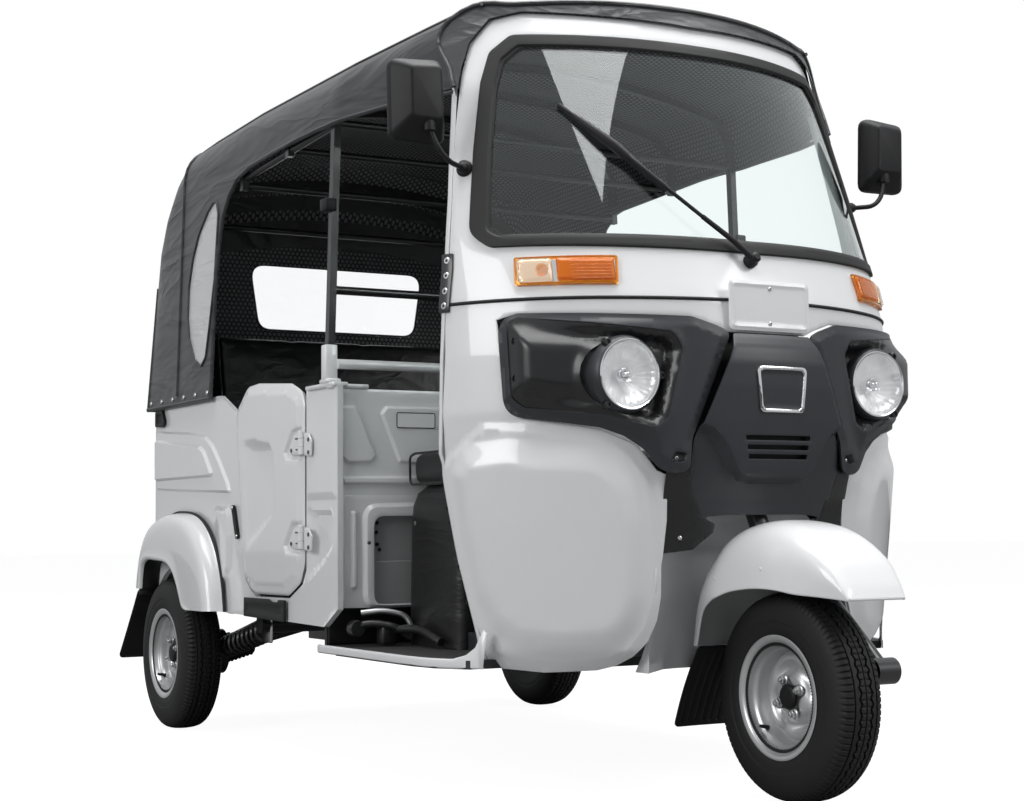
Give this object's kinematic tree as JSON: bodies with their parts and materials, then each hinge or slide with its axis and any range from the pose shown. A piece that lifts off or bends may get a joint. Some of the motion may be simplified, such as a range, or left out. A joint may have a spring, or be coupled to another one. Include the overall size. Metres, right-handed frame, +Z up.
{
  "type": "auto rickshaw",
  "caption": "Passenger rickshaw with a rounded cab over a steered front wheel, fabric hood over tube bows, low side doors, bench seat, driven rear wheels.",
  "frame": {"origin": "on the ground, at the middle of the length and width of the whole vehicle", "axes": "the front faces -Y, +X is the vehicle's left, +Z up"},
  "size_m": [1.387, 2.66, 1.7037],
  "materials": {
    "white_paint": "gloss",
    "dark_plastic": "satin",
    "black_metal": "satin",
    "black_rubber": "matte",
    "tyre": "matte",
    "wheel_steel": "satin",
    "engine_metal": "satin",
    "hood_fabric": "satin",
    "clear_sheet": "gloss",
    "screen_glass": "gloss",
    "lamp_chrome": "gloss",
    "amber_lens": "gloss",
    "red_lens": "gloss",
    "plate_white": "gloss",
    "seat_vinyl": "satin"
  },
  "bodies": {
    "body": {"centre_fascia": "dark_plastic", "chassis_frame": "black_metal", "dashboard": "dark_plastic", "driver_seat": "seat_vinyl", "driver_seat_base": "black_metal", "engine": "engine_metal", "floor_controls": "black_metal", "floor_pan": "white_paint", "front_cowl": "white_paint", "front_indicators": "amber_lens", "head_tube": "black_metal", "headlamp_fascias": "dark_plastic", "headlamps": "lamp_chrome", "hinges": "white_paint", "hood": "hood_fabric", "hood_frame": "black_metal", "hood_windows": "clear_sheet", "mirrors": "dark_plastic", "number_plate": "plate_white", "partition": "white_paint", "passenger_backrest": "seat_vinyl", "passenger_seat": "seat_vinyl", "passenger_seat_base": "black_metal", "rear_bumper": "black_metal", "rear_fenders": "white_paint", "rear_mudflaps": "black_rubber", "rear_panel": "white_paint", "side_panels": "white_paint", "step_plates": "black_rubber", "tail_lamps": "red_lens", "trailing_arms": "black_metal", "wheel_housings": "dark_plastic", "windscreen_frame": "white_paint", "windscreen_glass": "screen_glass", "windscreen_seal": "black_rubber", "wiper": "black_metal"},
    "front_wheel": {"tyre_front": "tyre", "rim_front": "wheel_steel"},
    "rear_wheel_right": {"tyre_rear_right": "tyre", "rim_rear_right": "wheel_steel"},
    "rear_wheel_left": {"tyre_rear_left": "tyre", "rim_rear_left": "wheel_steel"},
    "door_right": {"door_right": "white_paint"},
    "door_left": {"door_left": "white_paint"},
    "hatch": {"engine_hatch": "white_paint"},
    "steering": {"steering_fork": "black_metal", "handlebar": "black_metal", "front_fender": "white_paint", "front_mudflap": "black_rubber"}
  },
  "joints": [
    {"name": "steering_turn", "type": "hinge", "parent": "body", "child": "steering", "pos_m": [0, -0.8105, 0.8], "axis": [0, 0.4307, 0.9025], "range_deg": [-40, 40]},
    {"name": "front_wheel_spin", "type": "hinge", "parent": "steering", "child": "front_wheel", "pos_m": [0, -1.045, 0.208], "axis": [1, 0, 0], "continuous": true},
    {"name": "rear_wheel_right_spin", "type": "hinge", "parent": "body", "child": "rear_wheel_right", "pos_m": [-0.582, 0.955, 0.208], "axis": [1, 0, 0], "continuous": true},
    {"name": "rear_wheel_left_spin", "type": "hinge", "parent": "body", "child": "rear_wheel_left", "pos_m": [0.582, 0.955, 0.208], "axis": [1, 0, 0], "continuous": true},
    {"name": "door_right_swing", "type": "hinge", "parent": "body", "child": "door_right", "pos_m": [-0.61, 0.035, 0.6415], "axis": [0, 0, 1], "range_deg": [0, 95]},
    {"name": "door_left_swing", "type": "hinge", "parent": "body", "child": "door_left", "pos_m": [0.61, 0.035, 0.6415], "axis": [0, 0, -1], "range_deg": [0, 95]},
    {"name": "hatch_swing", "type": "hinge", "parent": "body", "child": "hatch", "pos_m": [0, 1.187, 0.796], "axis": [1, 0, 0], "range_deg": [0, 80]}
  ]
}
